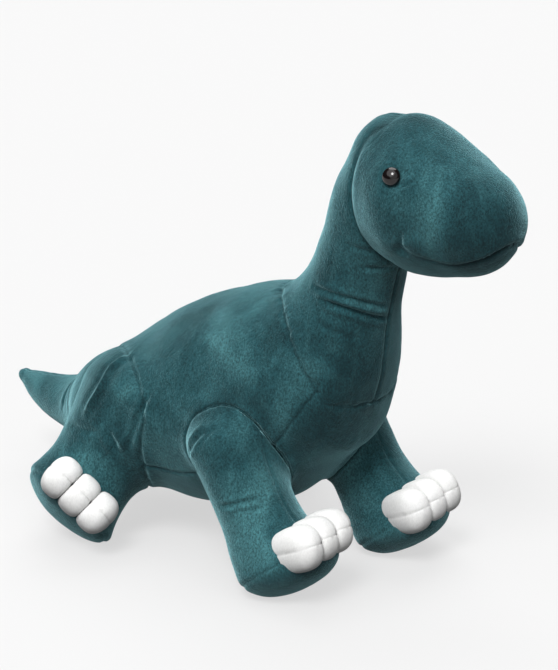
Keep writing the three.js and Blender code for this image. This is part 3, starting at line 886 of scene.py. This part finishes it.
def toe_cover(name, leg, index):
    """One of three toes, a plump lobe pressed flat on its neighbours; index runs from -1 to 1."""
    _, foot, _, sole_way, toe_way, side = leg_frame(leg)
    toes = leg["toes"]
    centre = foot + toe_way * toes["out"] + sole_way * (index * toes["lean"] - toes["rise"])
    centre = centre + side * index * toes["spacing"]
    half, tall = 1.05 * toes["half"], 0.98 * toes["tall"]
    slices = np.array([[0.84, 0.86, 0.86], [1.0, 1.0, 1.0], [1.0, 0.97, 0.97]])
    middles = centre + np.array([-14, -2, 6])[:, None] * toe_way
    ways = [np.tile(way, (len(slices), 1)) for way in (toe_way, -sole_way, side)]
    toe = Cover(name, (middles, *ways, slices * (half, tall, tall)), domes=(6, 14))

    # towards a neighbour the lobe is wider, and squared off where the neighbour begins
    offset = toe.points - centre
    across, high = offset @ side, offset @ sole_way
    towards = (across * index < 0) | (index == 0)
    wider = np.where(towards, 1.25, 1.0)
    across, half = wider * across, wider * half
    round_one = np.hypot(across / half, high / tall)
    square_one = ((np.abs(across) / half) ** 2.6 + (np.abs(high) / tall) ** 2.6) ** (1 / 2.6)
    fuller = round_one / np.maximum(square_one, 1e-6)
    reach = toes["spacing"] / 2 - 0.15
    low_limit, high_limit = -reach if index > -1 else None, reach if index < 1 else None
    moved = np.clip(across * fuller, low_limit, high_limit) - offset @ side
    toe.points += moved[:, None] * side + (high * (fuller - 1))[:, None] * sole_way
    toe.refine()
    toe.settle()

    # the seam along the middle of the toe
    offset = toe.points - centre
    level = np.abs(offset @ sole_way)
    toe.relief -= 0.35 * np.exp(-((level / 2.5) ** 2))
    along = offset @ side + offset @ toe_way
    # the toe seam gets painted shade, a light grey on the white velour
    toe.stitch(level, along, seed=60, depth=0.3, width=0.5, pucker=0.4, pitch=2.0, dark=0.7)
    toe.lumps(70, 0.3)
    return toe


for name, cover in legs.items():
    leg_body = name + "_leg"
    hip, foot, *_ = leg_frame(LEGS[name])
    piece = cover.build(TEAL, "teal_velour", [f"{name}_{panel}" for panel in PANELS["leg"]])
    start, end = (metres(hip + share * (foot - hip)) for share in LEG_BEND)
    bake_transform(piece)
    for index in (-1, 0, 1):
        toe_name = f"{name}_toe_{index + 2}"
        toe = toe_cover(f"{toe_name}_cover", LEGS[name], index)
        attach(toe.build(WHITE, "white_velour", [toe_name]), leg_body)


# ---- eyes -------------------------------------------------------------------
EYE_RADIUS, EYE_DOME, EYE_SEGMENTS = 6.1, 4.4, 48
# radius and height of the shank and the rim, then the dome over them
EYE_OUTLINE = [(0.0, -7.5), (1.6, -7.5), (1.6, -1.2), (4.6, -1.2), (5.7, -0.9), (EYE_RADIUS, -0.2)]
EYE_OUTLINE += [
    (EYE_RADIUS * math.cos(t), -0.1 + EYE_DOME * math.sin(t))
    for t in np.linspace(0.1, math.pi / 2, 14)
]


def turned(outline, base, facing, segments):
    """Points and faces of an outline turned about an axis; its first and last point are on it."""
    first = unit(np.cross(facing, X_AXIS + 0.2))
    second = np.cross(facing, first)
    points, faces = [], []
    for radius, height in outline[1:-1]:
        for k in range(segments):
            t = 2 * math.pi * k / segments
            out = first * math.cos(t) + second * math.sin(t)
            points.append(base + facing * height + radius * out)
    top = (len(outline) - 3) * segments
    points += [base + facing * outline[0][1], base + facing * outline[-1][1]]
    bottom_pole, top_pole = len(points) - 2, len(points) - 1
    for k in range(segments):
        j = (k + 1) % segments
        faces.append((k, bottom_pole, j))
        for low in range(0, top, segments):
            faces.append((low + k, low + j, low + segments + j, low + segments + k))
        faces.append((top + k, top + j, top_pole))
    return points, faces


for hand, side_name in ((1, "left"), (-1, "right")):
    base = np.array([41 * hand, -75.5, 302.2])
    facing = unit([0.88 * hand, -0.27, 0.4])
    points, faces = turned(EYE_OUTLINE, base, facing, EYE_SEGMENTS)
    eye = add_object(f"eye_{side_name}_cap", new_mesh("eye", metres(points), faces))
    eye.data.shade_smooth()
    eye.data.materials.append(EYE_PLASTIC)
    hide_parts(f"eye_{side_name}")
    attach(eye, "head")
    washer = frame["nodes"][f"eye_washer_{side_name}"]
    for slot in washer.material_slots:
        slot.material = WASHER_PLASTIC

# ---- stage, light and camera ------------------------------------------------
scene = bpy.context.scene
scene.view_settings.view_transform = "Standard"
FLOOR = 6  # half of the floor's side
corners = [(-FLOOR, -FLOOR, 0), (FLOOR, -FLOOR, 0), (FLOOR, FLOOR, 0), (-FLOOR, FLOOR, 0)]
floor = add_object("floor", new_mesh("floor", corners, [(0, 1, 2, 3)]))
floor_material = bpy.data.materials.new("floor")
floor_material.use_nodes = True
floor_shader = floor_material.node_tree.nodes["Principled BSDF"]
floor_shader.inputs["Base Color"].default_value = (0.2, 0.2, 0.2, 1)
floor_shader.inputs["Roughness"].default_value = 1.0
floor_shader.inputs["Specular IOR Level"].default_value = 0.0
floor_shader.inputs["Emission Color"].default_value = (1, 1, 1, 1)
floor_shader.inputs["Emission Strength"].default_value = 0.62
floor.data.materials.append(floor_material)
floor.visible_diffuse = False  # the floor glows as background but does not light the toy

world = bpy.data.worlds.new("studio")
world.use_nodes = True
world.node_tree.nodes["Background"].inputs["Color"].default_value = (0.95, 0.96, 1.0, 1)
world.node_tree.nodes["Background"].inputs["Strength"].default_value = 0.04
scene.world = world


def soft_sun(name, way, spread, strength):
    """A far, wide lamp shining along the given way."""
    data = bpy.data.lights.new(name, "SUN")
    data.angle = spread
    data.energy = strength
    light = bpy.data.objects.new(name, data)
    light.rotation_euler = Vector(way).to_track_quat("-Z", "Y").to_euler()
    scene.collection.objects.link(light)


soft_sun("key", (0.62, 0.0, -1), spread=1.3, strength=1.7)
soft_sun("rim", (-0.45, -0.4, -1), spread=0.9, strength=1.8)
soft_sun("fill", (0.6, 0.7, -0.6), spread=1.5, strength=1.0)
soft_sun("sparkle", (0.6, 0.3, -0.8), spread=0.35, strength=2.0)

camera_data = bpy.data.cameras.new("camera")
camera_data.sensor_width = 36
camera_data.lens = 130.5
camera = bpy.data.objects.new("camera", camera_data)
camera.location = (-1.1739, -1.1332, 0.6797)
camera.rotation_euler = Vector((0.695, 0.649, -0.309)).to_track_quat("-Z", "Y").to_euler()
scene.collection.objects.link(camera)
scene.camera = camera
